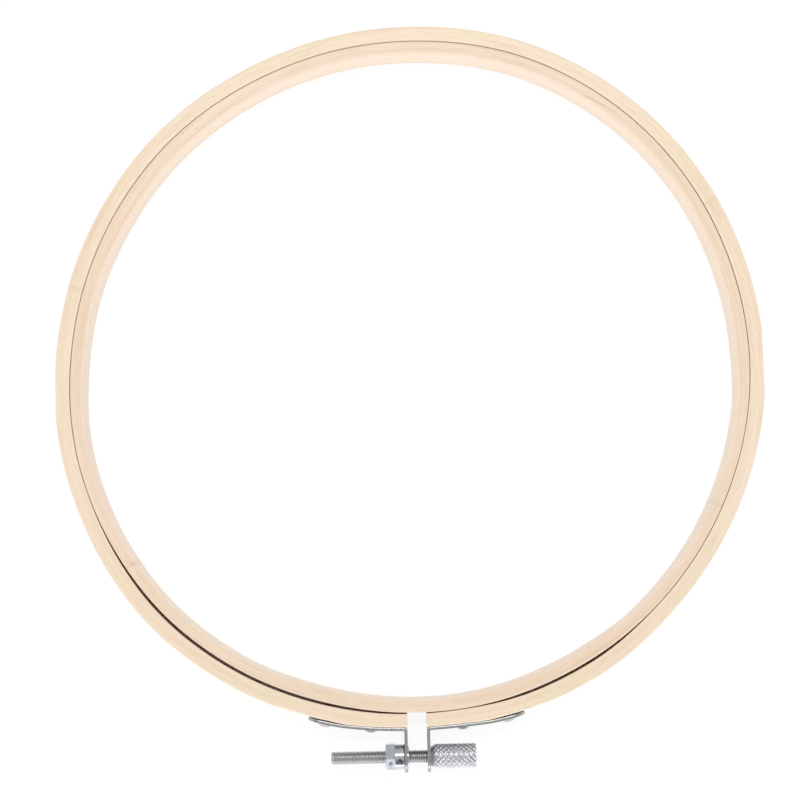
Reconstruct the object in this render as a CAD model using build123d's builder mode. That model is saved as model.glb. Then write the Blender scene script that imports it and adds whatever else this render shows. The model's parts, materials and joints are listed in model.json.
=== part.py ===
from build123d import *

import os
from math import cos, pi, radians, sin, sqrt

# An embroidery hoop lying flat. All sizes are in millimetres. +Z runs up through the hoop, the origin is
# the centre of its opening halfway up, and the clamp with its screw along X is on the -Y side.

# Wooden rings
opening_radius = 96.2  # clear opening inside the inner ring
inner_wall = 3.8
outer_wall = 4.0
ring_height = 10.0
cloth_gap = 0.6  # radial room for the cloth between the rings
ring_edge_ease = 0.45  # chamfer on every edge of the wood
mouth_width = 5.7  # between the two ends of the outer ring

# Sheet metal brackets
sheet = 0.9
bracket_width = 9.0
strap_seat_gap = 0.1  # between a strap and the wood
strap_length = 31.7  # from the middle of the mouth to the strap's far end, along the wood
strap_end_round = 3.6
bend_inner_radius = 0.4
ear_reach = 7.4  # from the strap's outer face to the screw's axis
ear_tip_round_share = 0.49  # of the bracket's width
ear_hole_clearance = 0.25

# Rivets, two in each strap
rivet_place_shares = {"near": 0.425, "far": 0.85}  # of the strap's length, from the middle of the mouth
rivet_head_radius = 2.3
rivet_head_height = 1.2
rivet_shoulder_share = 0.72  # of the head's radius and height, where its dome turns over
rivet_shank_radius = 1.0
rivet_flare_radius = 1.6
rivet_flare_depth = 0.6
rivet_recess = 0.15  # of the clinched end below the wood's inner face
rivet_clearance = 0.05

# Screw rod
rod_radius = 1.9
rod_tip_reach = 25.2  # from the middle of the mouth to the rod's tip
rod_tip_chamfer = 0.45
thread_clearance = 0.05

# Clamp nut, held in the left ear
hex_across_flats = 7.7
hex_thickness = 2.8
hex_corner_chamfer = 0.36  # along the screw, on the corners away from the ear, and twice as much across
collar_radius = 3.65
collar_length = 2.85
collar_edge_chamfer = 0.2
spigot_radius = 2.9
spigot_clearance = 0.03
clinch_lip_radius = 3.3
clinch_lip_thickness = 0.3

# Thumb knob
knob_radius = 3.55
knob_length = 13.2
knob_bearing_gap = 0.1  # between the knob and the right ear
knob_neck_radius = 2.75
knob_taper_length = 1.5
knob_end_chamfer = 0.4
knob_socket_depth = 9.0
socket_clearance = 0.02
knurl_starts = 15  # grooves each way round
knurl_depth = 0.38

# How far a cutting shape runs past what it cuts
overrun = 0.5

# Places that follow from the sizes above
inner_ring_outside = opening_radius + inner_wall
outer_ring_inside = inner_ring_outside + cloth_gap
outer_ring_outside = outer_ring_inside + outer_wall
strap_inside = outer_ring_outside + strap_seat_gap
strap_outside = strap_inside + sheet
mouth_half = mouth_width / 2
ear_outer_face = mouth_half + sheet
screw_y = -(strap_outside + ear_reach)
ear_tip_y = screw_y - bracket_width / 2
knob_start = ear_outer_face + knob_bearing_gap
knob_end = knob_start + knob_length
rivet_grip = sheet + strap_seat_gap + outer_wall - rivet_recess
rivet_reaches = {place: share * strap_length for place, share in rivet_place_shares.items()}

# The screw's own planes: sections across it, and the plane that holds its axis
screw_section = Plane(origin=(0, screw_y, 0), x_dir=(0, 1, 0), z_dir=(1, 0, 0))
screw_profile = Plane(origin=(0, screw_y, 0), x_dir=(1, 0, 0), z_dir=(0, 0, 1))
screw_axis = Axis((0, screw_y, 0), (1, 0, 0))


def on_circle(radius, angle, side=1):
    """A point on a circle round the hoop's axis, at an angle from the middle of the mouth."""
    return (side * radius * sin(angle), -radius * cos(angle))


def rivet_profile(reach, side):
    """The plane that holds a rivet's axis, with its origin on the strap's outer face and x outwards."""
    x, y = on_circle(strap_outside, reach / strap_outside, side)
    return Plane(origin=(x, y, 0), x_dir=(x, y, 0), z_dir=(0, 0, 1))


def rivet_axis(reach, side):
    profile = rivet_profile(reach, side)
    return Axis(profile.origin, profile.x_dir)


# Inner ring
with BuildPart() as inner_ring:
    with BuildSketch(Plane.XZ) as inner_section:
        with Locations((opening_radius + inner_wall / 2, 0)):
            Rectangle(inner_wall, ring_height)
        chamfer(inner_section.vertices(), length=ring_edge_ease)
    revolve(axis=Axis.Z)

# Outer ring, split at the mouth and drilled for the rivets, whose clinched ends sit in countersinks
with BuildPart() as outer_ring:
    with BuildSketch(Plane.XZ) as outer_section:
        with Locations((outer_ring_inside + outer_wall / 2, 0)):
            Rectangle(outer_wall, ring_height)
        chamfer(outer_section.vertices(), length=ring_edge_ease)
    revolve(axis=Axis.Z)
    with BuildSketch(Plane.XY):
        with Locations((0, -outer_ring_inside - outer_wall / 2)):
            Rectangle(mouth_width, outer_wall + 2 * overrun)
    extrude(amount=ring_height, both=True, mode=Mode.SUBTRACT)
    for side in (-1, 1):
        for reach in rivet_reaches.values():
            with BuildSketch(rivet_profile(reach, side)):
                with BuildLine():
                    Polyline(
                        (-rivet_grip - rivet_recess - overrun, 0),
                        (-rivet_grip - rivet_recess - overrun, rivet_flare_radius + rivet_clearance),
                        (-rivet_grip, rivet_flare_radius + rivet_clearance),
                        (-rivet_grip + rivet_flare_depth, rivet_shank_radius + rivet_clearance),
                        (overrun, rivet_shank_radius + rivet_clearance),
                        (overrun, 0),
                        close=True,
                    )
                make_face()
            revolve(axis=rivet_axis(reach, side), mode=Mode.SUBTRACT)


def make_bracket(side, ear_hole_radius):
    """A strap curved along the wood, bent outwards at the mouth into a round-ended ear with the screw's hole."""
    corner = (side * mouth_half, -sqrt(strap_inside**2 - mouth_half**2))
    inner_corner = (side * ear_outer_face, -sqrt(strap_outside**2 - ear_outer_face**2))
    far_angle = strap_length / strap_inside
    middle_angle = far_angle / 2
    far_inside = on_circle(strap_inside, far_angle, side)
    far_outside = on_circle(strap_outside, far_angle, side)
    with BuildPart() as bracket:
        with BuildSketch(Plane.XY) as edge_view:
            with BuildLine():
                Line((side * mouth_half, ear_tip_y), corner)
                ThreePointArc(corner, on_circle(strap_inside, middle_angle, side), far_inside)
                Line(far_inside, far_outside)
                ThreePointArc(far_outside, on_circle(strap_outside, middle_angle, side), inner_corner)
                Line(inner_corner, (side * ear_outer_face, ear_tip_y))
                Line((side * ear_outer_face, ear_tip_y), (side * mouth_half, ear_tip_y))
            make_face()
            fillet(edge_view.vertices().sort_by_distance(corner)[0], radius=bend_inner_radius + sheet)
            fillet(edge_view.vertices().sort_by_distance(inner_corner)[0], radius=bend_inner_radius)
        extrude(amount=bracket_width / 2, both=True)
        ear_tip = bracket.faces().sort_by(Axis.Y)[0]
        fillet(ear_tip.edges().filter_by(Axis.X), radius=bracket_width * ear_tip_round_share)
        strap_end = bracket.faces().sort_by_distance(far_outside)[0]
        fillet(strap_end.edges().filter_by(Axis.Z, reverse=True), radius=strap_end_round)
        with BuildSketch(screw_section):
            Circle(ear_hole_radius)
        extrude(amount=ear_outer_face + overrun, both=True, mode=Mode.SUBTRACT)
        for reach in rivet_reaches.values():
            profile = rivet_profile(reach, side)
            with BuildSketch(Plane(profile.origin, x_dir=(0, 0, 1), z_dir=profile.x_dir)):
                Circle(rivet_shank_radius + rivet_clearance)
            extrude(amount=sheet + overrun, both=True, mode=Mode.SUBTRACT)
    return bracket


left_bracket = make_bracket(-1, spigot_radius + spigot_clearance)
right_bracket = make_bracket(1, rod_radius + ear_hole_clearance)


def make_rivet(side, reach):
    """A domed head on the strap, a shank through strap and wood, and an end clinched into a flare."""
    with BuildPart() as rivet:
        with BuildSketch(rivet_profile(reach, side)):
            with BuildLine():
                Polyline(
                    (rivet_head_height, 0),
                    (-rivet_grip, 0),
                    (-rivet_grip, rivet_flare_radius),
                    (-rivet_grip + rivet_flare_depth, rivet_shank_radius),
                    (0, rivet_shank_radius),
                    (0, rivet_head_radius),
                    (rivet_shoulder_share * rivet_head_height, rivet_shoulder_share * rivet_head_radius),
                    close=True,
                )
            make_face()
        revolve(axis=rivet_axis(reach, side))
    return rivet


rivets = {
    f"{side_name}_rivet_{place}": make_rivet(side, reach)
    for side_name, side in (("left", -1), ("right", 1))
    for place, reach in rivet_reaches.items()
}

# Clamp nut: hexagon, round collar against the left ear, spigot through the ear and a clinched lip
with BuildPart() as clamp_nut:
    with BuildSketch(screw_section.offset(-ear_outer_face - collar_length - hex_thickness)):
        RegularPolygon(hex_across_flats / 2, side_count=6, major_radius=False, rotation=30)
    extrude(amount=hex_thickness)
    with BuildSketch(screw_profile):
        hex_start = -ear_outer_face - collar_length - hex_thickness
        hex_end = hex_start + hex_thickness
        corner_radius = hex_across_flats / 2 / cos(radians(30))
        with BuildLine():
            Polyline(
                (hex_start, 0),
                (hex_start, corner_radius - 2 * hex_corner_chamfer),
                (hex_start + hex_corner_chamfer + overrun / 2, corner_radius + overrun),
                (hex_end, corner_radius + overrun),
                (hex_end, 0),
                close=True,
            )
        make_face()
    revolve(axis=screw_axis, mode=Mode.INTERSECT)
    with BuildSketch(screw_section.offset(-ear_outer_face)):
        Circle(collar_radius)
    extrude(amount=-collar_length)
    chamfer(clamp_nut.faces().sort_by(Axis.X)[-1].edges(), length=collar_edge_chamfer)
    with BuildSketch(screw_section.offset(-ear_outer_face)):
        Circle(spigot_radius)
    extrude(amount=sheet + clinch_lip_thickness)
    with BuildSketch(screw_section.offset(-mouth_half)):
        Circle(clinch_lip_radius)
    extrude(amount=clinch_lip_thickness)
    with BuildSketch(screw_section):
        Circle(rod_radius + thread_clearance)
    extrude(amount=-rod_tip_reach, mode=Mode.SUBTRACT)

# Screw rod, from its chamfered tip to its end inside the knob
with BuildPart() as screw_rod:
    with BuildSketch(screw_section.offset(-rod_tip_reach)):
        Circle(rod_radius)
    extrude(amount=rod_tip_reach + knob_start + knob_socket_depth)
    chamfer(screw_rod.faces().sort_by(Axis.X)[0].edges(), length=rod_tip_chamfer)


def knurl_point(row, column):
    """A point of the cross knurl: tips and groove crossings take turns along the knob and round it."""
    radius = knob_radius - knurl_depth * ((row + column) % 2)
    angle = column * pi / knurl_starts
    x = knob_start + row * knurl_row_length
    return (x, screw_y + radius * cos(angle), radius * sin(angle))


def knurl_faces():
    """Each tip stands over four facets, which meet the next tips' facets in the crossing grooves."""
    faces = []
    for row in range(knurl_rows):
        for column in range(knurl_columns):
            near, along = knurl_point(row, column), knurl_point(row + 1, column)
            round_, across = knurl_point(row, column + 1), knurl_point(row + 1, column + 1)
            if (row + column) % 2:
                facets = ((near, across, round_), (near, along, across))
            else:
                facets = ((near, along, round_), (along, across, round_))
            faces += [Face(Wire.make_polygon(facet)) for facet in facets]
    for row in (0, knurl_rows):
        end = [knurl_point(row, column) for column in range(knurl_columns)]
        faces.append(Face(Wire.make_polygon(end)))
    return faces


# The grooves cross at right angles, so a row of tips is half as long as the tips are apart round the knob
knurl_rows = round(knob_length / (pi * knob_radius / knurl_starts))
knurl_row_length = knob_length / knurl_rows
knurl_columns = 2 * knurl_starts

# Thumb knob: the knurled bar trimmed by a turned outline, with a blind socket for the rod
with BuildPart() as thumb_knob:
    add(Solid(Shell(knurl_faces())))
    taper_slope = (knob_radius - knob_neck_radius) / knob_taper_length
    with BuildSketch(screw_profile):
        with BuildLine():
            Polyline(
                (knob_start, 0),
                (knob_start, knob_neck_radius),
                (knob_start + knob_taper_length + overrun / taper_slope, knob_radius + overrun),
                (knob_end - knob_end_chamfer - overrun, knob_radius + overrun),
                (knob_end, knob_radius - knob_end_chamfer),
                (knob_end, 0),
                close=True,
            )
        make_face()
    revolve(axis=screw_axis, mode=Mode.INTERSECT)
    with BuildSketch(screw_section.offset(knob_start)):
        Circle(rod_radius + socket_clearance)
    extrude(amount=knob_socket_depth, mode=Mode.SUBTRACT)

pieces = {
    "inner_ring": inner_ring,
    "outer_ring": outer_ring,
    "left_bracket": left_bracket,
    "right_bracket": right_bracket,
    **rivets,
    "clamp_nut": clamp_nut,
    "screw_rod": screw_rod,
    "thumb_knob": thumb_knob,
}

os.makedirs("parts", exist_ok=True)
for name, piece in pieces.items():
    piece.part.label = name
    export_step(piece.part, f"parts/{name}.step")
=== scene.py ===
import json
import math

import bmesh
import bpy
from mathutils import Matrix, Vector, noise


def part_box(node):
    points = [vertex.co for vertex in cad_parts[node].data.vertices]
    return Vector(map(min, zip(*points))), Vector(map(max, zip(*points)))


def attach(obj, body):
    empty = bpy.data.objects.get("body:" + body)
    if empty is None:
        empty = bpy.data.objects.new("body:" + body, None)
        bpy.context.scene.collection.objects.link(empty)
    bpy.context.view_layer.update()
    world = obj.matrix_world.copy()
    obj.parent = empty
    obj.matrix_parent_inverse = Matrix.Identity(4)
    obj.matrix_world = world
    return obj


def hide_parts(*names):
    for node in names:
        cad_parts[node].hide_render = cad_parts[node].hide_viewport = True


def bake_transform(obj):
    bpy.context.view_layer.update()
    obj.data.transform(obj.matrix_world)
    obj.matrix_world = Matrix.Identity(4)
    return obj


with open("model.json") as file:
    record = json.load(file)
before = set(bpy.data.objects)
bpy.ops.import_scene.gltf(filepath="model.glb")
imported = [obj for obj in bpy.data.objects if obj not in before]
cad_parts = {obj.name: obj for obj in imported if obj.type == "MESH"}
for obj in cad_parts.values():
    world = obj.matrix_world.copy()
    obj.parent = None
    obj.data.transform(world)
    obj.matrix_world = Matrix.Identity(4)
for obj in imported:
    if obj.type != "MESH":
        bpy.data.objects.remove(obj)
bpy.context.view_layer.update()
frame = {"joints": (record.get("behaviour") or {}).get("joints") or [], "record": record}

mm = 0.001


# Places that every piece shares, read from the frame
innerLow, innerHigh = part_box("inner_ring")
hoop = {
    "low": innerLow.z,
    "high": innerHigh.z,
    "opening": next(m["dims"]["r_mm"] for m in frame["record"]["mounts"] if m["name"] == "hoop_opening") * mm,
    "innerOutside": innerHigh.x,
    "outerOutside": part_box("outer_ring")[1].x,
    "mouthHalf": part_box("right_bracket")[0].x,
    "mouthAngle": 270,  # degrees from +X
    "screwY": next(j["pos_m"][1] for j in frame["joints"] if j["name"] == "knob_turn"),
}


# Small helpers for nodes and meshes

def addNode(where, kind, inputs=None, **settings):
    # where is a node tree or any socket in it
    tree = where.id_data
    made = tree.nodes.new(kind)
    for key, value in settings.items():
        setattr(made, key, value)
    for key, value in (inputs or {}).items():
        if isinstance(value, bpy.types.NodeSocket):
            tree.links.new(value, made.inputs[key])
        else:
            made.inputs[key].default_value = value
    return made


def calc(operation, *values, clamp=False):
    where = next(value for value in values if isinstance(value, bpy.types.NodeSocket))
    inputs = dict(enumerate(values))
    return addNode(where, "ShaderNodeMath", inputs, operation=operation, use_clamp=clamp).outputs[0]


def plus(first, second):
    return calc("ADD", first, second)


def minus(first, second, clamp=False):
    return calc("SUBTRACT", first, second, clamp=clamp)


def times(first, second, clamp=False):
    return calc("MULTIPLY", first, second, clamp=clamp)


def over(first, second, clamp=False):
    return calc("DIVIDE", first, second, clamp=clamp)


def vectorCalc(operation, *values, output="Vector"):
    inputs = dict(enumerate(values))
    return addNode(values[0], "ShaderNodeVectorMath", inputs, operation=operation).outputs[output]


def mapRange(value, span, low, high):
    inputs = {0: value, 1: span[0], 2: span[1], 3: low, 4: high}
    return addNode(value, "ShaderNodeMapRange", inputs).outputs[0]


def rampOf(factor, *stops):
    # each stop is a place from 0 to 1, and a colour or a grey level
    ramp = addNode(factor, "ShaderNodeValToRGB", {0: factor})
    elements = ramp.color_ramp.elements
    while len(elements) < len(stops):
        elements.new(0.5)
    for element, (place, colour) in zip(elements, stops):
        element.position = place
        element.color = (*colour, 1.0) if isinstance(colour, tuple) else (colour, colour, colour, 1.0)
    return ramp.outputs[0]


def mixColours(factor, first, second):
    inputs = {0: factor}
    for key, colour in ((6, first), (7, second)):
        inputs[key] = (*colour, 1.0) if isinstance(colour, tuple) else colour
    return addNode(factor, "ShaderNodeMix", inputs, data_type="RGBA").outputs[2]


def noiseOf(vector, scale, detail=2.0, roughness=0.5):
    inputs = {"Vector": vector, "Scale": scale, "Detail": detail, "Roughness": roughness}
    return addNode(vector, "ShaderNodeTexNoise", inputs).outputs[0]


def screenColour(red, green, blue):
    # a colour picked on screen, 0 to 255, as the shader wants it
    def one(value):
        value /= 255
        return value / 12.92 if value <= 0.04045 else ((value + 0.055) / 1.055) ** 2.4
    return (one(red), one(green), one(blue))


def newMaterial(name, **sockets):
    material = bpy.data.materials.new(name)
    material.use_nodes = True
    tree = material.node_tree
    shader = tree.nodes["Principled BSDF"]
    for key, value in sockets.items():
        shader.inputs[key.replace("_", " ")].default_value = value
    return material, tree, shader


def joinShader(tree, shader, height, bump, **sockets):
    # links what the nodes make to the shader, and the height with its bump's strength and depth
    for key, value in sockets.items():
        tree.links.new(value, shader.inputs[key.replace("_", " ")])
    strength, depth = bump
    relief = addNode(tree, "ShaderNodeBump", {"Height": height, "Strength": strength, "Distance": depth})
    tree.links.new(relief.outputs[0], shader.inputs["Normal"])


def linkObject(name, data):
    made = bpy.data.objects.new(name, data)
    bpy.context.scene.collection.objects.link(made)
    return made


def finishMesh(mesh, sharpAngle=35):
    work = bmesh.new()
    work.from_mesh(mesh)
    bmesh.ops.recalc_face_normals(work, faces=work.faces)
    work.to_mesh(mesh)
    work.free()
    mesh.shade_smooth()
    mesh.set_sharp_from_angle(angle=math.radians(sharpAngle))


def newPiece(name, vertices, faces):
    mesh = bpy.data.meshes.new(name)
    mesh.from_pydata(vertices, [], faces)
    finishMesh(mesh)
    return linkObject(name, mesh)


def applyModifiers(piece):
    # what the modifiers make becomes the piece's own mesh, and none stays on it
    made = bpy.data.meshes.new_from_object(piece.evaluated_get(bpy.context.evaluated_depsgraph_get()))
    piece.modifiers.clear()
    piece.data = made
    made.name = piece.name


# Wood

bamboo = {
    "outer": {
        "light": screenColour(251, 232, 210),
        "middle": screenColour(247, 225, 200),
        "dark": screenColour(238, 212, 183),
        "patch": screenColour(244, 228, 196),
    },
    "inner": {
        "light": screenColour(249, 228, 207),
        "middle": screenColour(244, 219, 195),
        "dark": screenColour(234, 205, 178),
        "patch": screenColour(239, 220, 193),
    },
    "seamShade": screenColour(182, 119, 66),  # painted shade on the walls that face each other, for the shadow in the seam between the rings
    "paintedLight": screenColour(251, 236, 221),  # painted light on the other two walls, and painted highlights on the eased edges of the top face
    "line": screenColour(176, 132, 92),
    "pore": screenColour(190, 150, 112),
    "sheen": 0.42,  # none of it where the seam's painted shade lies
    "wallStarts": 2.2 * mm,  # from the middle of the top face
    "wallFades": 0.8 * mm,
    "seamShadeShare": 0.9,
    "seamShadeDeep": (4.0 * mm, 2.8 * mm, 0.7),  # the painted seam shade grows paler down the wall: from here, over how far, by what share
    "wallLightShare": 0.55,
    "edgeHighlightAt": 1.85 * mm,  # where the painted edge highlights lie, from the middle of the top face
    "edgeHighlightHalf": 0.4 * mm,
    "edgeHighlightShare": 0.6,
    # each noise's scale along and round the strip, per metre, then its detail and roughness
    "fibre": (75, 3400, 4.0, 0.62),
    "streak": (11, 620, 3.0, 0.55),
    "patches": (38, 120, 2.0, 0.5),
    "dash": (260, 5200, 1.0, 0.5),
    # where on its noise each colour comes in, and how strongly
    "streakAt": (0.28, 0.48, 0.72),
    "patchesAt": ((0.42, 0.0), (0.66, 0.75)),
    "fibreAt": ((0.35, 0.16), (0.55, 0.0)),
    "dashAt": ((0.66, 0.0), (0.74, 0.4)),
    "roughAt": ((0.3, 0.58), (0.7, 0.4)),
    "markEnds": 6.0,  # how sharply a slanting line ends
    "fibreHeight": 0.5,  # where a mark's depth is 1
    "bump": (0.35, 0.06 * mm),
}


def alongStrip(look, angle):
    # where that angle lies along the strip's middle, in metres from its start
    return math.radians(angle - look["start"]) * (look["inside"] + look["outside"]) / 2


def stripNoise(strip, settings):
    along, across, detail, roughness = settings
    stretched = vectorCalc("MULTIPLY", strip, (along, across, 1.0))
    return noiseOf(stretched, 1.0, detail, roughness)


def markShown(u, v, centre, width, strength, slant=None):
    # how strongly a lap line or a node of the cane shows here, from 0 to 1
    ahead = minus(u, centre)
    near, within = ahead, 1.0
    if slant:
        across, lean, reach = slant
        near = minus(minus(v, across), times(ahead, lean))
        share = over(calc("ABSOLUTE", ahead), reach)
        within = times(minus(1.0, share), bamboo["markEnds"], clamp=True)
    line = minus(1.0, over(calc("ABSOLUTE", near), width), clamp=True)
    return times(times(line, within), strength)


def wallShare(v, side):
    # how far round onto the wall on that side, and the place measured towards it
    aside = times(v, side)
    return over(minus(aside, bamboo["wallStarts"]), bamboo["wallFades"], clamp=True), aside


def bambooFinish(name, tones, look, shadedSide):
    # the map "strip" gives the place along the strip as u, and round its section as v
    material, tree, shader = newMaterial(name, Specular_IOR_Level=bamboo["sheen"])
    strip = addNode(tree, "ShaderNodeUVMap", uv_map="strip").outputs[0]
    parts = addNode(tree, "ShaderNodeSeparateXYZ", {0: strip})
    u, v = parts.outputs[0], parts.outputs[1]
    fibre, streak, patches, dash = (
        stripNoise(strip, bamboo[kind]) for kind in ("fibre", "streak", "patches", "dash")
    )
    stops = zip(bamboo["streakAt"], (tones["dark"], tones["middle"], tones["light"]))
    colour = rampOf(streak, *stops)
    colour = mixColours(rampOf(patches, *bamboo["patchesAt"]), colour, tones["patch"])
    colour = mixColours(rampOf(fibre, *bamboo["fibreAt"]), colour, bamboo["pore"])
    colour = mixColours(rampOf(dash, *bamboo["dashAt"]), colour, bamboo["pore"])

    # painted shade on the wall that faces the other ring, for the seam's shadow, darkest at its top and without sheen
    onWall, aside = wallShare(v, shadedSide)
    start, distance, less = bamboo["seamShadeDeep"]
    deep = over(minus(aside, start), distance, clamp=True)
    seamShade = times(times(onWall, bamboo["seamShadeShare"]), minus(1.0, times(deep, less)))
    sheen = times(minus(1.0, seamShade), bamboo["sheen"])
    colour = mixColours(seamShade, colour, bamboo["seamShade"])

    # painted light on the wall on the other side, and painted highlights along the top face's eased edges
    onWall, aside = wallShare(v, -shadedSide)
    colour = mixColours(times(onWall, bamboo["wallLightShare"]), colour, bamboo["paintedLight"])
    fromEdge = calc("ABSOLUTE", minus(calc("ABSOLUTE", v), bamboo["edgeHighlightAt"]))
    edgeHighlight = minus(1.0, over(fromEdge, bamboo["edgeHighlightHalf"]), clamp=True)
    colour = mixColours(times(edgeHighlight, bamboo["edgeHighlightShare"]), colour, bamboo["paintedLight"])

    lines = 0.0
    for angle, *mark in look["marks"]:
        shown = markShown(u, v, alongStrip(look, angle), *mark)
        colour = mixColours(shown, colour, bamboo["line"])
        lines = calc("MAXIMUM", lines, shown)
    height = minus(times(fibre, bamboo["fibreHeight"]), lines)
    roughness = rampOf(fibre, *bamboo["roughAt"])
    joinShader(
        tree, shader, height, bamboo["bump"], Base_Color=colour, Roughness=roughness, Specular_IOR_Level=sheen
    )
    return material


endGrain = {
    "dot": screenColour(150, 108, 70),
    "dots": 1700.0,  # per metre
    "dotAt": ((0.16, 0.85), (0.34, 0.0)),
    "ground": 700.0,
    "groundAt": (0.35, 0.65),
    "roughness": 0.72,
    "sheen": 0.3,
    "bump": (0.3, 0.05 * mm),
}


def endGrainFinish(name, tones, look):
    material, tree, shader = newMaterial(name, Roughness=look["roughness"], Specular_IOR_Level=look["sheen"])
    place = addNode(tree, "ShaderNodeTexCoord").outputs["Object"]
    dots = addNode(tree, "ShaderNodeTexVoronoi", {"Vector": place, "Scale": look["dots"]}).outputs[0]
    stops = zip(look["groundAt"], (tones["dark"], tones["middle"]))
    ground = rampOf(noiseOf(place, look["ground"]), *stops)
    colour = mixColours(rampOf(dots, *look["dotAt"]), ground, look["dot"])
    joinShader(tree, shader, dots, look["bump"], Base_Color=colour)
    return material


def stripSection(inside, outside, high, look):
    # (radius, height) round the strip's section, from the middle of its underside outwards, up, and back in
    low, rounding, detail = hoop["low"], look["edgeRound"], look["detail"]
    arcs = []
    for r, z, start in (
        (outside - rounding, low + rounding, -90),
        (outside - rounding, high - rounding, 0),
        (inside + rounding, high - rounding, 90),
        (inside + rounding, low + rounding, 180),
    ):
        turns = [math.radians(start + 90 * i / detail["corner"]) for i in range(detail["corner"] + 1)]
        arcs.append([(r + rounding * math.cos(a), z + rounding * math.sin(a)) for a in turns])

    def between(a, b, steps):
        return [(a[0] + (b[0] - a[0]) * i / steps, a[1] + (b[1] - a[1]) * i / steps) for i in range(1, steps)]

    underside = ((inside + outside) / 2, low)
    points = [underside, *between(underside, arcs[0][0], detail["face"] // 2)]
    for arc, nextArc, steps in zip(arcs, arcs[1:], (detail["wall"], detail["face"], detail["wall"])):
        points += arc + between(arc[-1], nextArc[0], steps)
    return points + arcs[3] + between(arcs[3][-1], underside, detail["face"] // 2)


def bentStrip(name, look, angles, closed, insideAt, outsideAt):
    # a strip of wood bent round the hoop's axis; its map "strip" runs along it and round its section, in metres
    rows = [
        stripSection(insideAt(a), outsideAt(a), hoop["high"] - uneven(look, "top", a), look)
        for a in angles
    ]
    count = len(rows[0])
    vertices = [
        (r * math.cos(math.radians(a)), r * math.sin(math.radians(a)), z)
        for a, row in zip(angles, rows) for r, z in row
    ]
    around = [0.0]
    for i in range(count):
        a, b = rows[0][i], rows[0][(i + 1) % count]
        around.append(around[-1] + math.hypot(b[0] - a[0], b[1] - a[1]))
    along = [alongStrip(look, a) for a in (*angles, angles[0] + 360)]
    spans = len(angles) if closed else len(angles) - 1
    faces, places = [], []
    for i in range(spans):
        row, following = i * count, (i + 1) % len(angles) * count
        for j in range(count):
            k = (j + 1) % count
            faces.append((row + j, following + j, following + k, row + k))
            corners = ((i, j), (i + 1, j), (i + 1, j + 1), (i, j + 1))
            places += [(along[x], around[y] - around[-1] / 2) for x, y in corners]
    if not closed:
        last = (len(angles) - 1) * count
        faces += [tuple(range(count)), tuple(last + j for j in reversed(range(count)))]
        places += rows[0] + rows[-1][::-1]
    mesh = bpy.data.meshes.new(name)
    mesh.from_pydata(vertices, [], faces)
    layer = mesh.uv_layers.new(name="strip")
    layer.data.foreach_set("uv", [number for place in places for number in place])
    for face in mesh.polygons[spans * count:]:
        face.material_index = 1  # end grain
    finishMesh(mesh, look["sharpAngle"])
    return linkObject(name, mesh)


bend = {
    # bent wood is never quite round: an oval, then centre, half width and ease in degrees, and how far out
    "oval": 0.75 * mm,
    "humps": ((208, 12, 25, 0.6 * mm), (102, 10, 25, -0.7 * mm), (330, 20, 30, 0.6 * mm)),
    "clamp": (hoop["mouthAngle"], 10, 20),  # where the brackets hold it round
    # where the outer strip stands off the inner one
    "openings": ((239, 12, 28, 0.7 * mm), (296, 4, 16, 0.62 * mm)),
    "endsFlat": (12, 0.6 * mm),  # the outer strip's ends are straighter: degrees from the mouth, and how far in
    "earStarts": (105.8 * mm, 108.9 * mm),  # from here to here along the ear the bracket's own place comes back
}


def apart(angle, other):
    # degrees between two directions, the shorter way round
    return abs((angle - other + 180) % 360 - 180)


def hump(angle, centre, halfWidth, ease):
    # 1 within halfWidth degrees of the centre, falling smoothly to 0 over the next ease degrees
    share = min(max((halfWidth + ease - apart(angle, centre)) / ease, 0.0), 1.0)
    return share * share * (3 - 2 * share)


def humpsAt(angle, humps):
    return sum(far * hump(angle, centre, half, ease) for centre, half, ease, far in humps)


def uneven(look, face, angle):
    # how far that face is worn in at this angle, slowly changing and back at its start after a turn
    seed, turns = look["wavers"][face]
    a = math.radians(angle)
    return abs(look["uneven"] * noise.noise(Vector((turns * math.cos(a), turns * math.sin(a), seed))))


def outOfRound(angle):
    free = 1 - hump(angle, *bend["clamp"])
    oval = bend["oval"] * math.sin(math.radians(2 * angle)) * free
    return oval + humpsAt(angle, bend["humps"]) * free


def outerFaceMoves(angle):
    # the outer strip's outside near the clamp, which the brackets and rivets follow
    reach, depth = bend["endsFlat"]
    off = apart(angle, hoop["mouthAngle"]) / reach
    return humpsAt(angle, bend["openings"]) - depth * max(1 - off * off, 0.0)


def followStrip(mesh):
    # carries what is fastened to the strip along with it, and leaves the ears on the screw
    start, end = bend["earStarts"]
    for vertex in mesh.vertices:
        x, y = vertex.co.x, vertex.co.y
        share = min(max((end + y) / (end - start), 0.0), 1.0)
        radius, angle = math.hypot(x, y), math.degrees(math.atan2(y, x)) % 360
        scale = 1 + share * (outOfRound(angle) + outerFaceMoves(angle)) / radius
        vertex.co.x, vertex.co.y = x * scale, y * scale


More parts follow.
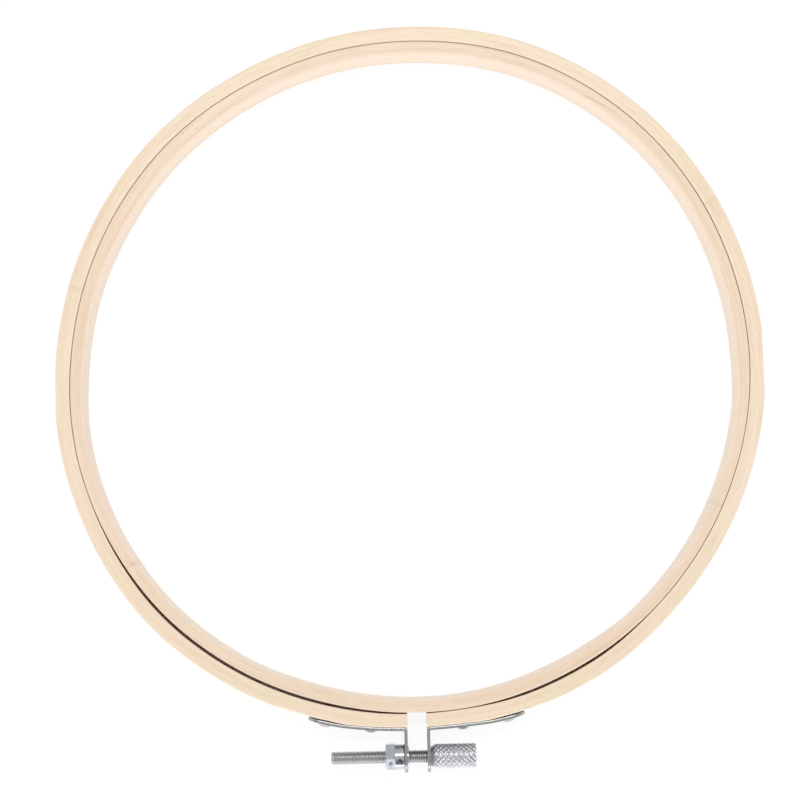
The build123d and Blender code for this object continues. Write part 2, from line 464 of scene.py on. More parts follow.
anyStrip = {
    "edgeRound": 0.5 * mm,
    "uneven": 0.05 * mm,
    "step": 0.5,  # degrees from one section to the next
    "detail": {"corner": 6, "wall": 10, "face": 8},
    "sharpAngle": 50,
}
innerStrip = {
    **anyStrip,
    "inside": hoop["opening"],
    "outside": hoop["innerOutside"],
    "start": 50,  # where the strip's two ends are glued on each other, degrees from +X
    "thinner": ((332, 20, 12, 0.55 * mm), (215, 25, 12, 0.35 * mm), (140, 8, 20, -0.5 * mm)),
    "wavers": {"inside": (1.5, 2.2), "outside": (4.5, 2.6), "top": (7.5, 3.4)},  # seed, and waves round the hoop
    # each mark's angle, width and strength, and a slanting line's place across, lean and reach
    "marks": (
        # the scarf, seen as a fine slanting line over the top face
        (52.6, 0.17 * mm, 0.6, (0.2 * mm, 0.122, 6.5 * mm)),
        # a node of the cane with a notch beside it, and another node further round
        (214, 1.1 * mm, 0.16),
        (214, 0.2 * mm, 0.45, (0.9 * mm, 0.8, 1.8 * mm)),
        (335, 1.2 * mm, 0.12),
    ),
}


def makeInnerRing(look):
    angles = [look["start"] + look["step"] * i for i in range(int(360 / look["step"]))]
    ring = bentStrip(
        "inner_ring_wood", look, angles, True,
        lambda a: look["inside"] + outOfRound(a) + humpsAt(a, look["thinner"]) + uneven(look, "inside", a),
        lambda a: look["outside"] + outOfRound(a) - uneven(look, "outside", a),
    )
    ring.data.materials.append(bambooFinish("bamboo inner ring", bamboo["inner"], look, -1.0))
    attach(ring, "inner_hoop")
    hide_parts("inner_ring")


outerStrip = {
    **anyStrip,
    "inside": hoop["innerOutside"] + 0.14 * mm,
    "outside": hoop["outerOutside"] - 0.02 * mm,
    "fineStep": 0.125,  # over the stretch opposite the mouth, which bends as the hoop opens
    "fineHalf": 3.0,
    "fallsAway": ((253, 2, 5, 0.3 * mm), (287, 2, 5, 0.3 * mm)),  # the wood is eased under the straps' ends
    "wavers": {"inside": (2.5, 2.4), "outside": (5.5, 2.0), "top": (8.5, 3.0)},
    "marks": (
        # a long lap in the strip, and two nodes of the cane
        (106.5, 0.15 * mm, 0.4, (-0.25 * mm, 0.036, 7.0 * mm)),
        (28, 1.1 * mm, 0.13),
        (165, 1.2 * mm, 0.13),
    ),
}
mouthHalfAngle = math.degrees(math.asin(hoop["mouthHalf"] / outerStrip["outside"]))
outerStrip["start"] = hoop["mouthAngle"] + mouthHalfAngle - 360


def outerAngles(look):
    angle, last = look["start"], 180 - look["start"]
    angles = []
    while angle < last:
        angles.append(angle)
        nearTop = abs(angle - 90) < look["fineHalf"]
        angle += look["fineStep"] if nearTop else look["step"]
    return [*angles, last]


def squareEnds(mesh, look):
    # the strip's two ends are sawn square to the screw, not towards the hoop's middle
    end = hoop["mouthHalf"]
    for vertex in mesh.vertices:
        x, y = vertex.co.x, vertex.co.y
        if y < 0 and abs(x) <= math.hypot(x, y) * end / look["outside"] + 0.001 * mm:
            vertex.co.x = math.copysign(end, x)


def makeOuterRing(look, rivets):
    def insideAt(angle):
        return look["inside"] + outOfRound(angle) + humpsAt(angle, bend["openings"]) + uneven(look, "inside", angle)

    def outsideAt(angle):
        # nowhere further out to the sides than the CAD ring
        radius = look["outside"] + outOfRound(angle) + outerFaceMoves(angle) - humpsAt(angle, look["fallsAway"])
        widest = look["outside"] / max(abs(math.cos(math.radians(angle))), 0.5)
        return min(radius, widest) - uneven(look, "outside", angle)

    ring = bentStrip("outer_ring_wood", look, outerAngles(look), False, insideAt, outsideAt)
    squareEnds(ring.data, look)
    ring.data.materials.append(bambooFinish("bamboo outer ring", bamboo["outer"], look, 1.0))
    ring.data.materials.append(endGrainFinish("bamboo end grain", bamboo["outer"], endGrain))
    cutter = countersinks(rivets)
    cut = ring.modifiers.new("countersinks", "BOOLEAN")
    cut.operation, cut.solver, cut.object = "DIFFERENCE", "EXACT", cutter
    applyModifiers(ring)
    bpy.data.objects.remove(cutter)
    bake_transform(ring)
    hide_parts("outer_ring")


# Metal

# each metal's colour, and a darker one for its worn patches and, on the thread and the knurl, for painted shade in
# the grooves
metals = {
    "sheet": dict(colour=(0.36, 0.36, 0.36), wornAndShade=(0.24, 0.24, 0.24), roughness=(0.2, 0.34), grain=900.0),
    "stampedEdge": dict(colour=(0.45, 0.45, 0.45), wornAndShade=(0.3, 0.3, 0.3), roughness=(0.3, 0.42), grain=1400.0),
    "rivet": dict(colour=(0.6, 0.59, 0.59), wornAndShade=(0.26, 0.25, 0.25), roughness=(0.16, 0.3), grain=1100.0),
    "nut": dict(colour=(0.73, 0.75, 0.82), wornAndShade=(0.5, 0.51, 0.57), roughness=(0.08, 0.18), grain=700.0),
    "rod": dict(colour=(0.62, 0.62, 0.63), wornAndShade=(0.4, 0.4, 0.4), roughness=(0.285, 0.34), grain=1200.0),
    "knob": dict(colour=(0.89, 0.88, 0.92), wornAndShade=(0.27, 0.27, 0.28), roughness=(0.285, 0.35), grain=1000.0),
}
metalGrain = {
    # how much coarser or finer than the metal's own grain per metre, then detail and roughness
    "cloud": (3, 3.0, 0.6),
    "cloudAt": ((0.45, 0.0), (0.75, 0.45)),
    "fine": (4, 2.0, 0.6),
    "roughAt": (0.3, 0.7),
    "bump": (0.12, 0.02 * mm),
}
# dark mottled spots on the upper flats of the nut's hexagon
nutDarkSpots = {
    "colour": (0.035, 0.03, 0.05),
    "fades": ((0.6, 1.0), (1.0, 0.0)),
    "mottle": (1300.0, 2.0, 0.6),  # scale, detail and roughness
    "mottleAt": ((0.36, 0.15), (0.56, 1.0)),
    # each spot's centre, how far it reaches each way, and its strength
    "spots": (
        ((-5.2 * mm, -114.35 * mm, 3.4 * mm), (1.5 * mm, 1.5 * mm, 2.0 * mm), 0.9),
        ((-7.9 * mm, -114.4 * mm, 3.4 * mm), (0.8 * mm, 1.0 * mm, 1.5 * mm), 0.6),
    ),
}


def darkSpotAt(place, spot):
    # how dark the mottled spot is here, from 0 to 1
    centre, reach, strength = spot
    off = vectorCalc("SUBTRACT", place, centre)
    far = vectorCalc("LENGTH", vectorCalc("DIVIDE", off, reach), output="Value")
    within = rampOf(far, *nutDarkSpots["fades"])
    mottled = rampOf(noiseOf(place, *nutDarkSpots["mottle"]), *nutDarkSpots["mottleAt"])
    return times(times(within, mottled), strength)


def metalFinish(name, look, shadeGrooves=False, spots=()):
    material, tree, shader = newMaterial(name, Metallic=1.0)
    place = addNode(tree, "ShaderNodeTexCoord").outputs["Object"]
    coarser, *cloudy = metalGrain["cloud"]
    finer, *fine = metalGrain["fine"]
    cloud = noiseOf(place, look["grain"] / coarser, *cloudy)
    grain = noiseOf(place, look["grain"] * finer, *fine)
    wearAndShade = rampOf(cloud, *metalGrain["cloudAt"])
    # painted shade: on the thread and the knurl the colour darkens towards the bottom of each groove
    if shadeGrooves:
        groove = addNode(tree, "ShaderNodeAttribute", attribute_name="groove").outputs["Fac"]
        wearAndShade = calc("MAXIMUM", wearAndShade, groove)
    colour = mixColours(wearAndShade, look["colour"], look["wornAndShade"])
    for spot in spots:
        colour = mixColours(darkSpotAt(place, spot), colour, nutDarkSpots["colour"])
    roughness = rampOf(grain, *zip(metalGrain["roughAt"], look["roughness"]))
    joinShader(tree, shader, grain, metalGrain["bump"], Base_Color=colour, Roughness=roughness)
    return material


def newTree(name, **numbers):
    # a geometry tree with a mesh in and out, the numbers that it names, and the finish that it sets
    tree = bpy.data.node_groups.new(name, "GeometryNodeTree")
    tree.interface.new_socket("Geometry", in_out="INPUT", socket_type="NodeSocketGeometry")
    for label, value in numbers.items():
        kind = "NodeSocketInt" if isinstance(value, int) else "NodeSocketFloat"
        tree.interface.new_socket(label, in_out="INPUT", socket_type=kind).default_value = value
    tree.interface.new_socket("Finish", in_out="INPUT", socket_type="NodeSocketMaterial")
    tree.interface.new_socket("Geometry", in_out="OUTPUT", socket_type="NodeSocketGeometry")
    return tree, tree.nodes.new("NodeGroupInput").outputs


def endTree(tree, sizes, geometry):
    realized = addNode(tree, "GeometryNodeRealizeInstances", {0: geometry}).outputs[0]
    inputs = {"Geometry": realized, "Material": sizes["Finish"]}
    painted = addNode(tree, "GeometryNodeSetMaterial", inputs).outputs[0]
    tree.links.new(painted, tree.nodes.new("NodeGroupOutput").inputs[0])
    return tree


def runTree(piece, tree, **values):
    modifier = piece.modifiers.new(tree.name, "NODES")
    modifier.node_group = tree
    names = {item.name: item.identifier for item in tree.interface.items_tree if item.in_out == "INPUT"}
    for label, value in values.items():
        modifier[names[label]] = value
    applyModifiers(piece)


def workOnScrew(piece, name, worked, look, finish, **numbers):
    # moves each point in or out about the screw's axis; worked gives its new radius, and how deep in a groove it is
    tree, sizes = newTree(name, **numbers, Axis=hoop["screwY"])
    position = addNode(tree, "GeometryNodeInputPosition").outputs[0]
    parts = addNode(tree, "ShaderNodeSeparateXYZ", {0: position}).outputs
    x, y, z = parts[0], minus(parts[1], sizes["Axis"]), parts[2]
    out = calc("SQRT", plus(times(y, y), times(z, z)))
    angle = calc("ARCTAN2", z, y)
    radius, groove = worked(sizes, x, out, angle, over(angle, math.tau))
    geometry = sizes["Geometry"] if groove is None else keepGroove(sizes["Geometry"], groove)
    y = plus(times(radius, calc("COSINE", angle)), sizes["Axis"])
    z = times(radius, calc("SINE", angle))
    place = addNode(tree, "ShaderNodeCombineXYZ", {0: x, 1: y, 2: z}).outputs[0]
    moved = addNode(tree, "GeometryNodeSetPosition", {"Geometry": geometry, "Position": place}).outputs[0]
    runTree(piece, endTree(tree, sizes, moved), **numbers, Axis=hoop["screwY"], Finish=finish)
    piece.data.set_sharp_from_angle(angle=math.radians(look["sharpAngle"]))


def keepGroove(geometry, depth):
    # stores how deep in a groove each point lies, from 0 to 1, for the finish to read as painted shade
    inputs = {"Geometry": geometry, "Name": "groove"}
    stored = addNode(geometry, "GeometryNodeStoreNamedAttribute", inputs, data_type="FLOAT", domain="POINT")
    geometry.id_data.links.new(depth, next(s for s in stored.inputs if s.name == "Value" and s.enabled))
    return stored.outputs[0]


def triangleWave(value):
    # 0 at whole numbers and 1 half way between them
    doubled = times(calc("FRACT", value), 2.0)
    return minus(1.0, calc("ABSOLUTE", minus(doubled, 1.0)))


def threadAt(sizes, x, out, angle, turn):
    wave = triangleWave(minus(over(x, sizes["Pitch"]), turn))
    cut = over(minus(wave, sizes["CrestShare"]), sizes["FlankShare"], clamp=True)
    # the thread runs out over a turn at both ends
    after = over(minus(x, sizes["From"]), sizes["Pitch"], clamp=True)
    before = over(minus(sizes["To"], x), sizes["Pitch"], clamp=True)
    share = times(cut, times(after, before))
    threaded = minus(sizes["Crest"], times(share, sizes["Depth"]))
    return calc("MINIMUM", out, threaded), share


def knurlAt(sizes, x, out, angle, turn):
    fromStart = minus(x, sizes["Start"])
    ahead = over(fromStart, sizes["Lead"])
    # each of the two wheels bites deeper at one end of the knob
    place = over(fromStart, sizes["Length"], clamp=True)
    drop = times(minus(1.0, sizes["Faint"]), place)
    cuts = []
    for phase, strength in (
        (plus(turn, ahead), minus(1.0, drop)),
        (minus(turn, ahead), plus(sizes["Faint"], drop)),
    ):
        wave = triangleWave(times(phase, sizes["Starts"]))
        cut = minus(1.0, times(wave, sizes["Narrow"], clamp=True))
        cuts.append(times(cut, strength))
    share = calc("MAXIMUM", *cuts)
    knurled = minus(sizes["Outside"], times(share, sizes["Depth"]))
    bite = over(minus(out, knurled), sizes["Depth"], clamp=True)
    return calc("MINIMUM", out, knurled), calc("POWER", bite, 2.0)


def hexagonAt(sizes, x, out, angle, turn):
    # the angle from the middle of the nearest flat, whose middles lie 60 degrees apart, the first at the side
    nearest = times(calc("ROUND", times(turn, 6.0)), math.tau / 6)
    off = minus(angle, nearest)
    flat = over(times(sizes["Flats"], 0.5), calc("COSINE", off))
    milled = calc("SMOOTH_MIN", out, flat, sizes["Corner"])
    inZone = calc("LESS_THAN", x, sizes["To"])
    return addNode(x, "ShaderNodeMix", {0: inZone, 2: out, 3: milled}, data_type="FLOAT").outputs[0], None


def rivetTree():
    tree, sizes = newTree("rivet row", Near=0.1, Far=0.2, Side=1.0, Seat=0.1)
    points = addNode(tree, "GeometryNodePoints", {"Count": 2}).outputs[0]
    index = addNode(tree, "GeometryNodeInputIndex").outputs[0]
    angle = plus(sizes["Near"], times(index, minus(sizes["Far"], sizes["Near"])))
    angle = times(angle, sizes["Side"])
    x = times(sizes["Seat"], calc("SINE", angle))
    y = times(sizes["Seat"], times(calc("COSINE", angle), -1.0))
    place = addNode(tree, "ShaderNodeCombineXYZ", {0: x, 1: y}).outputs[0]
    placed = addNode(tree, "GeometryNodeSetPosition", {"Geometry": points, "Position": place}).outputs[0]
    turned = addNode(tree, "ShaderNodeCombineXYZ", {2: angle}).outputs[0]
    rotation = addNode(tree, "FunctionNodeEulerToRotation", {0: turned}).outputs[0]
    inputs = {"Points": placed, "Instance": sizes["Geometry"], "Rotation": rotation}
    row = addNode(tree, "GeometryNodeInstanceOnPoints", inputs).outputs[0]
    return endTree(tree, sizes, row)


def turnBlank(name, profile, columns, centre, axis="X"):
    # a closed turned shape; the profile's (along, radius) points run from one end of the axis to the other
    def place(along, radius, angle):
        a, b = radius * math.cos(angle), radius * math.sin(angle)
        if axis == "X":
            return (along, centre + a, b)
        return (a, -along, b)  # a rivet's axis, pointing out of the hoop at the mouth

    vertices, faces = [place(profile[0][0], 0.0, 0.0)], []
    for along, radius in profile[1:-1]:
        vertices += [place(along, radius, math.tau * i / columns) for i in range(columns)]
    vertices.append(place(profile[-1][0], 0.0, 0.0))
    rings = len(profile) - 2
    last = 1 + (rings - 1) * columns
    for i in range(columns):
        k = (i + 1) % columns
        faces.append((0, 1 + k, 1 + i))
        for ring in range(rings - 1):
            a, b = 1 + ring * columns, 1 + (ring + 1) * columns
            faces.append((a + i, a + k, b + k, b + i))
        faces.append((last + i, last + k, len(vertices) - 1))
    return newPiece(name, vertices, faces)


def stepped(start, end, step):
    # places from start to end, evenly spaced and about that far apart
    count = max(1, round(abs(end - start) / step))
    return [start + (end - start) * i / count for i in range(count + 1)]


rodLook = {
    "radius": 1.9 * mm,
    "tip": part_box("screw_rod")[0].x,
    "end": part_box("screw_rod")[1].x,
    "knobFace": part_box("thumb_knob")[0].x,
    "tipChamfer": 0.45 * mm,
    "pitch": 0.7 * mm,
    "depth": 0.24 * mm,
    "crestShare": 0.12,  # of half a pitch, left at full height
    "flankShare": 0.68,
    "samples": 8,  # along each turn of the thread
    "columns": 48,
    "sharpAngle": 70,
}


def makeRod(look):
    # a turned blank with a chamfered tip, then its thread
    step = look["pitch"] / look["samples"]
    start, radius, chamfer = look["tip"], look["radius"], look["tipChamfer"]
    tipRadius = radius - chamfer
    profile = [(start, 0.0), (start, tipRadius * 0.5), (start, tipRadius)]
    profile += [(x, tipRadius + (x - start)) for x in stepped(start, start + chamfer, step)[1:]]
    profile += [(x, radius) for x in stepped(start + chamfer, look["knobFace"] + look["pitch"], step)[1:]]
    profile += [(look["end"], radius), (look["end"], 0.0)]
    rod = turnBlank("screw_rod_threaded", profile, look["columns"], hoop["screwY"])
    finish = metalFinish("zinc plated thread", metals["rod"], shadeGrooves=True)
    workOnScrew(
        rod, "cut thread", threadAt, look, finish, Pitch=look["pitch"], Crest=radius, Depth=look["depth"],
        CrestShare=look["crestShare"], FlankShare=look["flankShare"], From=start, To=look["knobFace"],
    )
    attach(rod, "clamp_screw")
    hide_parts("screw_rod")


knobLook = {
    "radius": 3.55 * mm,
    "start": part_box("thumb_knob")[0].x,
    "end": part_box("thumb_knob")[1].x,
    "neckRadius": 2.75 * mm,
    "taper": 1.5 * mm,
    "endChamfer": 0.4 * mm,
    "starts": 15,
    "depth": 0.42 * mm,
    "faint": 0.4,  # the shallower grooves' share of the depth
    "narrow": 1.25,  # the higher, the narrower the grooves
    "rows": 18,  # half diamonds along the knob
    "samples": 6,  # along and across each half diamond
    "faceEdge": 0.93,  # as the rings, shares of the end's radius
    "endRings": (0.86, 0.72),  # where the lathe left its marks
    "ringHalf": 0.03,
    "ringDepth": 0.04 * mm,
    "dimple": (0.9 * mm, 0.35 * mm),  # radius and depth of the centre mark
    "sharpAngle": 28,
}


def makeKnob(look):
    # a turned blank with its taper at the ear and its chamfer at the far end, then the cross knurl
    start, end, radius, neck = look["start"], look["end"], look["radius"], look["neckRadius"]
    step = (end - start) / look["rows"] / look["samples"]
    dimpleRadius, dimpleDepth = look["dimple"]
    faceRadius = radius - look["endChamfer"]
    profile = [(start, 0.0), (start, neck * 0.7), (start, neck)]
    for x in stepped(start, end, step)[1:-1]:
        tapered = neck + (radius - neck) * (x - start) / look["taper"]
        chamfered = faceRadius + (end - x)
        profile.append((x, min(radius, tapered, chamfered)))
    profile += [(end, faceRadius), (end, faceRadius * look["faceEdge"])]
    for share in look["endRings"]:
        profile.append((end, faceRadius * (share + look["ringHalf"])))
        profile.append((end - look["ringDepth"], faceRadius * share))
        profile.append((end, faceRadius * (share - look["ringHalf"])))
    profile += [(end, dimpleRadius), (end - dimpleDepth, 0.15 * dimpleRadius), (end - dimpleDepth, 0.0)]
    knob = turnBlank("thumb_knob_knurled", profile, 2 * look["starts"] * look["samples"], hoop["screwY"])
    finish = metalFinish("knurled nickel", metals["knob"], shadeGrooves=True)
    lead = (end - start) / look["rows"] * 2 * look["starts"]
    workOnScrew(
        knob, "roll knurl", knurlAt, look, finish, Starts=look["starts"], Lead=lead, Length=end - start,
        Depth=look["depth"], Faint=look["faint"], Narrow=look["narrow"], Outside=radius, Start=start,
    )
    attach(knob, "clamp_screw")
    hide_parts("thumb_knob")


nutLook = {
    "start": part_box("clamp_nut")[0].x,
    "end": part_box("clamp_nut")[1].x,
    "flats": 7.7 * mm,
    "hexThickness": 2.8 * mm,
    "cornerChamfer": 0.36 * mm,
    "collarRadius": 3.65 * mm,
    "collarLength": 2.85 * mm,
    "collarEdge": 0.2 * mm,
    "spigotRadius": 2.9 * mm,
    "lipRadius": 3.3 * mm,
    "lipThickness": 0.3 * mm,
    "boreRadius": 1.93 * mm,
    "boreChamfer": 0.35 * mm,
    "edge": 0.12 * mm,
    "faceStep": 0.35 * mm,
    "hexStep": 0.1 * mm,
    "collarStep": 0.4 * mm,
    "columns": 120,
    "sharpAngle": 24,
}


def makeNut(look):
    # turned in one piece, from the bore's mouth over the hexagon, the collar and the clinched lip, then milled
    start, end, edge = look["start"], look["end"], look["edge"]
    bore, chamfer, lip = look["boreRadius"], look["boreChamfer"], look["lipThickness"]
    collar, collarEdge = look["collarRadius"], look["collarEdge"]
    hexEnd = start + look["hexThickness"]
    collarEnd = hexEnd + look["collarLength"]
    corner = look["flats"] / 2 / math.cos(math.radians(30))
    faceRadius = corner - 2 * look["cornerChamfer"]
    flare = bore + chamfer
    profile = [(start + 2 * chamfer, 0.0), (start + 2 * chamfer, bore), (start + chamfer, bore), (start, flare)]
    profile += [(start, r) for r in stepped(flare, faceRadius - edge, look["faceStep"])[1:]]
    profile.append((start + edge * 0.3, faceRadius - edge * 0.3))
    for x in stepped(start + edge, hexEnd - edge, look["hexStep"]):
        profile.append((x, min(corner, faceRadius + 2 * (x - start))))
    profile += [
        (hexEnd - edge * 0.3, corner - edge * 0.3),
        (hexEnd, corner - edge),
        (hexEnd, collar + edge * 0.6),
        (hexEnd + edge * 0.6, collar),
    ]
    profile += [(x, collar) for x in stepped(hexEnd + edge, collarEnd - collarEdge, look["collarStep"])]
    profile += [
        (collarEnd - collarEdge * 0.3, collar - collarEdge * 0.3),
        (collarEnd, collar - collarEdge),
        (collarEnd, look["spigotRadius"]),
        (end - lip, look["spigotRadius"]),
        (end - lip, look["lipRadius"]),
        (end - lip * 0.4, look["lipRadius"]),
        (end, look["lipRadius"] - lip * 0.6),
        (end, flare),
        (end - chamfer, bore),
        (end - 2 * chamfer, bore),
        (end - 2 * chamfer, 0.0),
    ]
    nut = turnBlank("clamp_nut_plated", profile, look["columns"], hoop["screwY"])
    finish = metalFinish("bright nickel", metals["nut"], spots=nutDarkSpots["spots"])
    workOnScrew(
        nut, "mill hexagon", hexagonAt, look, finish, Flats=look["flats"], To=hexEnd + edge * 0.1, Corner=edge,
    )
    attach(nut, "outer_hoop")
    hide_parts("clamp_nut")


rivetLook = {
    "seat": hoop["outerOutside"] + 1.0 * mm,  # radius of the strap's outer face
    "nearReach": 13.4725 * mm,  # along the strap, from the middle of the mouth
    "farReach": 26.945 * mm,
    "headRadius": 2.3 * mm,
    "headHeight": 1.2 * mm,
    "headStep": 0.16 * mm,
    "rimHeight": 0.06 * mm,
    "rimRound": 0.03 * mm,
    "dimpleRadius": 0.7 * mm,
    "dimpleDepth": 0.45 * mm,
    "shankRadius": 1.0 * mm,
    "grip": 4.85 * mm,  # from under the head to the clinched end
    "flareRadius": 1.6 * mm,
    "flareDepth": 0.6 * mm,
    "flareEdge": (0.1 * mm, 0.02 * mm, 0.12 * mm),  # its height, and how far in its top and its bottom lie
    "clinchBore": 0.75 * mm,
    "clinchDepth": 0.5 * mm,
    "clinchEdge": (0.15 * mm, 0.12 * mm),  # how wide and how deep the bore's mouth is rounded
    "columns": 40,
    "sharpAngle": 40,
    # the hole in the wood: how much wider than shank and flare, and how far past the wood the tools run
    "holeSlack": 0.05 * mm,
    "sinkSlack": 0.08 * mm,
    "holePast": 0.6 * mm,
    "sinkPast": 1.2 * mm,
    "holeColumns": 32,
}


def makeRivets(look):
    # a low dome with a punched middle, a shank, and an end rolled out into the countersink
    radius, height, shank, end = look["headRadius"], look["headHeight"], look["shankRadius"], -look["grip"]
    dimple, depth = look["dimpleRadius"], look["dimpleDepth"]
    ball = (radius**2 + height**2) / (2 * height)
    profile = [(height - depth, 0.0), (height - depth, dimple * 0.45), (height - depth * 0.75, dimple * 0.8)]
    for r in stepped(dimple, radius * 0.97, look["headStep"]):
        profile.append((height - ball + math.sqrt(ball**2 - r**2), r))
    profile += [(look["rimHeight"], radius), (0.0, radius - look["rimRound"]), (0.0, shank)]
    flareEdge, topIn, bottomIn = look["flareEdge"]
    mouthWide, mouthDeep = look["clinchEdge"]
    profile += [
        (end + look["flareDepth"], shank),
        (end + flareEdge, look["flareRadius"] - topIn),
        (end, look["flareRadius"] - bottomIn),
        (end, look["clinchBore"] + mouthWide),
        (end + mouthDeep, look["clinchBore"]),
        (end + look["clinchDepth"], look["clinchBore"] * 0.8),
        (end + look["clinchDepth"], 0.0),
    ]
    profile.reverse()
    tree = rivetTree()
    finish = metalFinish("rivet nickel", metals["rivet"])
    for sideName, side, body in (("left", -1.0, "outer_hoop"), ("right", 1.0, "right_end")):
        row = turnBlank(sideName + "_rivets", profile, look["columns"], 0.0, axis="Y")
        runTree(
            row, tree, Near=look["nearReach"] / look["seat"], Far=look["farReach"] / look["seat"],
            Side=side, Seat=look["seat"], Finish=finish,
        )
        followStrip(row.data)
        row.data.set_sharp_from_angle(angle=math.radians(look["sharpAngle"]))
        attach(row, body)
        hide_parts(sideName + "_rivet_near", sideName + "_rivet_far")


def countersinks(look):
    # what the drill and countersink take out of the wood at each rivet
    shank, flare = look["shankRadius"] + look["holeSlack"], look["flareRadius"] + look["sinkSlack"]
    end, out = -look["grip"], look["holePast"] - (look["seat"] - hoop["outerOutside"])
    profile = [(end - look["sinkPast"], 0.0), (end - look["sinkPast"], flare), (end, flare)]
    profile += [(end + look["flareDepth"], shank), (out, shank), (out, 0.0)]
    work = bmesh.new()
    for side in (-1, 1):
        for reach in (look["nearReach"], look["farReach"]):
            angle = side * reach / look["seat"]
            shape = turnBlank("countersink", profile, look["holeColumns"], 0.0, axis="Y")
            seat = Vector((look["seat"] * math.sin(angle), -look["seat"] * math.cos(angle), 0.0))
            shape.data.transform(Matrix.Translation(seat) @ Matrix.Rotation(angle, 4, "Z"))
            followStrip(shape.data)
            work.from_mesh(shape.data)
            bpy.data.objects.remove(shape)
    mesh = bpy.data.meshes.new("countersinks")
    work.to_mesh(mesh)
    work.free()
    return linkObject("countersinks", mesh)


bracketLook = {
    "sheet": 0.9 * mm,
    "width": 9.0 * mm,
    "strapInside": hoop["outerOutside"] + 0.1 * mm,
    "strapLength": 31.7 * mm,
    "strapEndRound": 3.6 * mm,
    "bendInside": 0.4 * mm,
    "earRound": 4.41 * mm,
    "earTip": -hoop["screwY"] + 4.5 * mm,  # how far the ear reaches towards -Y
    "edge": 0.13 * mm,  # the stamped edges are tumbled smooth
    "rivetHole": 1.05 * mm,
    "screwHole": {"left": 2.93 * mm, "right": 2.15 * mm},
    "cornerSteps": 16,
    "holeSides": 40,
    "arcStep": 1.0 * mm,
    "bendSteps": 12,
    "sharpAngle": 30,
}


def bracketPath(look):
    # the face against the wood and the mouth, followed from the strap's far end to the ear's tip
    inside, outerBend = look["strapInside"], look["bendInside"] + look["sheet"]
    centreX = hoop["mouthHalf"] + outerBend
    centreY = math.sqrt((inside + outerBend) ** 2 - centreX**2)
    farAngle, bendAngle = look["strapLength"] / inside, math.atan2(centreX, centreY)
    arcLength = inside * (farAngle - bendAngle)
    bendLength = outerBend * (math.radians(90) - bendAngle)
    earLength = look["earTip"] - centreY

    def at(along):
        # the point there, and the way out of the face into the sheet
        if along < arcLength:
            angle = farAngle - along / inside
            outwards = (math.sin(angle), -math.cos(angle))
            return (inside * outwards[0], inside * outwards[1]), outwards
        if along < arcLength + bendLength:
            swing = bendAngle + (along - arcLength) / outerBend
            outwards = (math.sin(swing), -math.cos(swing))
            return (centreX - outerBend * outwards[0], -centreY - outerBend * outwards[1]), outwards
        return (hoop["mouthHalf"], -centreY - (along - arcLength - bendLength)), (1.0, 0.0)

    return at, farAngle, arcLength, bendLength, arcLength + bendLength + earLength


def blankOutline(look, length, inset):
    # the flat sheet's outline, that far inside its edge
    half, steps, ear, end = look["width"] / 2, look["cornerSteps"], look["earRound"], look["strapEndRound"]
    points = []
    for x, y, radius, first in (
        (length - ear, half - ear, ear, 0),
        (end, half - end, end, 90),
        (end, -half + end, end, 180),
        (length - ear, -half + ear, ear, 270),
    ):
        for i in range(steps + 1):
            a = math.radians(first + 90 * i / steps)
            points.append((x + (radius - inset) * math.cos(a), y + (radius - inset) * math.sin(a)))
    return points


def holeOutline(look, centre, radius):
    # followed the other way round than the sheet's own outline
    turns = [-math.tau * i / look["holeSides"] for i in range(look["holeSides"])]
    return [(centre + radius * math.cos(a), radius * math.sin(a)) for a in turns]


def makeBracket(look, sideName, side, body, rivets):
    # a flat blank with its holes, bent along the path
    at, farAngle, arcLength, bendLength, length = bracketPath(look)
    edge, sheet = look["edge"], look["sheet"]
    levels = [(edge * (1 - math.sin(a)), edge * (1 - math.cos(a))) for a in map(math.radians, (0, 45, 90))]
    levels += [(inset, sheet - depth) for inset, depth in reversed(levels)]
    holes = [(length - (look["earTip"] + hoop["screwY"]), look["screwHole"][sideName])]
    for reach in (rivets["nearReach"], rivets["farReach"]):
        holes.append((look["strapInside"] * (farAngle - reach / rivets["seat"]), look["rivetHole"]))
    outlines = [[blankOutline(look, length, inset) for inset, depth in levels]]
    for centre, radius in holes:
        outlines.append([holeOutline(look, centre, radius + inset) for inset, depth in levels])

    work = bmesh.new()
    faceEdges = ([], [])
    for outline in outlines:
        rows = [[work.verts.new((x, y, depth)) for x, y in points] for points, (inset, depth) in zip(outline, levels)]
        count = len(rows[0])
        for lower, upper in zip(rows, rows[1:]):
            for i in range(count):
                k = (i + 1) % count
                work.faces.new((lower[i], lower[k], upper[k], upper[i])).material_index = 1
        for edges, row in zip(faceEdges, (rows[0], rows[-1])):
            edges += [work.edges.get((row[i], row[(i + 1) % count])) for i in range(count)]
    for edges in faceEdges:
        bmesh.ops.triangle_fill(work, edges=edges, use_beauty=True)
    cuts = stepped(0, arcLength, look["arcStep"])[1:]
    cuts += stepped(arcLength, arcLength + bendLength, bendLength / look["bendSteps"])[1:]
    for along in cuts:
        everything = work.verts[:] + work.edges[:] + work.faces[:]
        bmesh.ops.bisect_plane(work, geom=everything, dist=1e-7, plane_co=(along, 0, 0), plane_no=(1, 0, 0))
    for vertex in work.verts:
        along, across, depth = vertex.co
        (x, y), (outX, outY) = at(along)
        vertex.co = (side * (x + outX * depth), y + outY * depth, across)
    mesh = bpy.data.meshes.new(sideName + "_bracket_sheet")
    work.to_mesh(mesh)
    work.free()
    followStrip(mesh)
    finishMesh(mesh, look["sharpAngle"])
    bracket = linkObject(sideName + "_bracket_sheet", mesh)
    mesh.materials.append(metalFinish("nickelled sheet " + sideName, metals["sheet"]))
    mesh.materials.append(metalFinish("stamped edge " + sideName, metals["stampedEdge"]))
    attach(bracket, body)
    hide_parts(sideName + "_bracket")


